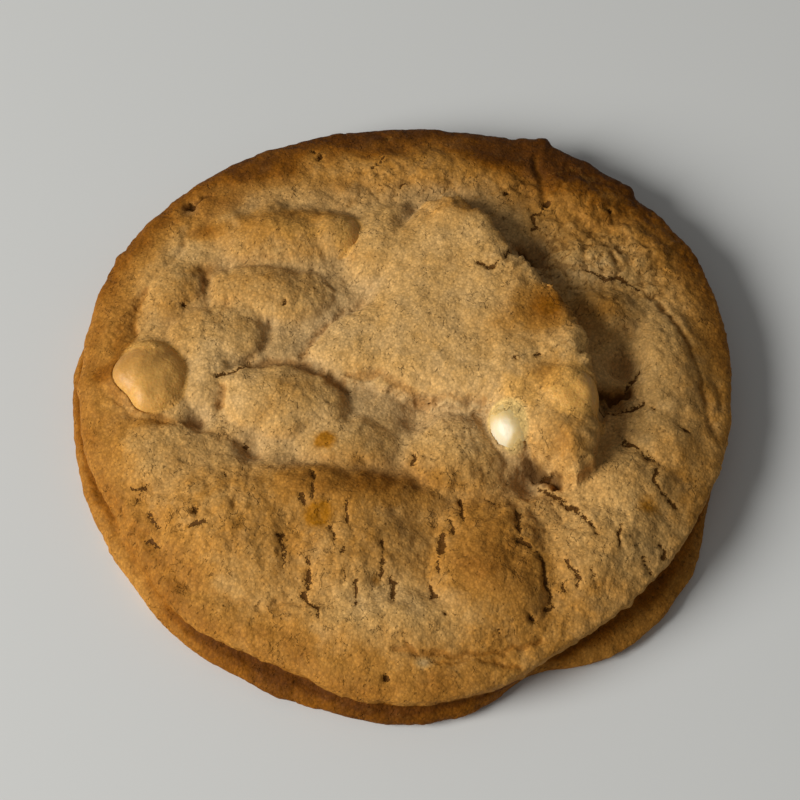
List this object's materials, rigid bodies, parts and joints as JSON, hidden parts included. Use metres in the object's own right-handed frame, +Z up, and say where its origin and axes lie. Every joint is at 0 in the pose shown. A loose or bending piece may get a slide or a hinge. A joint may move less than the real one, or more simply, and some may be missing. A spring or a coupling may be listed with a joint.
{
  "type": "white chocolate macadamia cookie",
  "caption": "Round chunky baked cookie with a lumpy cracked crust, a raised plate in the middle, a thin browned foot, and macadamias and a white chocolate chip sunk in its top; a sweet snack",
  "frame": {"origin": "under the middle of the cookie's bounding box, on the flat underside it rests on", "axes": "+Z up through the cookie, +X to the right, +Y towards the back; the cookie is thinnest along Z"},
  "size_m": [0.0816, 0.0822, 0.0133],
  "materials": {
    "cookie": "baked dough, matte with an oily sheen on its lumps",
    "macadamia": "toasted nut, smooth and slightly oily",
    "white_chocolate": "white chocolate, softly glossy"
  },
  "bodies": {
    "root": {"cookie": "cookie", "macadamia_left": "macadamia", "macadamia_back": "macadamia", "macadamia_middle": "macadamia", "white_chip": "white_chocolate"}
  },
  "joints": []
}
